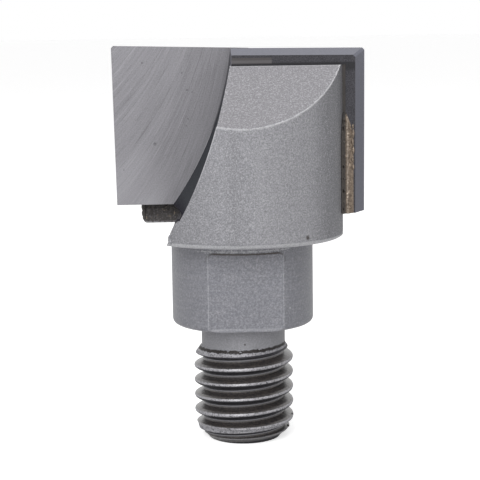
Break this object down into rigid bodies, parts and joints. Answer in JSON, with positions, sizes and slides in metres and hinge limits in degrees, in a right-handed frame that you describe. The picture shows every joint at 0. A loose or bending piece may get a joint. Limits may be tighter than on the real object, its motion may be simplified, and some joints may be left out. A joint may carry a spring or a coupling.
{
  "type": "surfacing router bit",
  "caption": "Screw-in surfacing router bit: threaded shank, hub with wrench flats and a round head whose wings carry brazed carbide plates along X.",
  "frame": {"origin": "centre of the shank's threaded end face, on which it stands", "axes": "+Z along the axis towards the cutting end, +X along the plates, -Y towards the open gullet of the plate on the -X side"},
  "size_m": [0.0246, 0.0204, 0.0391],
  "materials": {
    "head_steel": "fine grained, worn bright on the edges",
    "ground_carbide": "ground with a fine curved grain",
    "braze_filler": "dull"
  },
  "bodies": {
    "root": {"steel_body": "head_steel", "carbide_plate_left": "ground_carbide", "carbide_plate_right": "ground_carbide", "braze_layer_left": "braze_filler", "braze_layer_right": "braze_filler"}
  },
  "joints": []
}
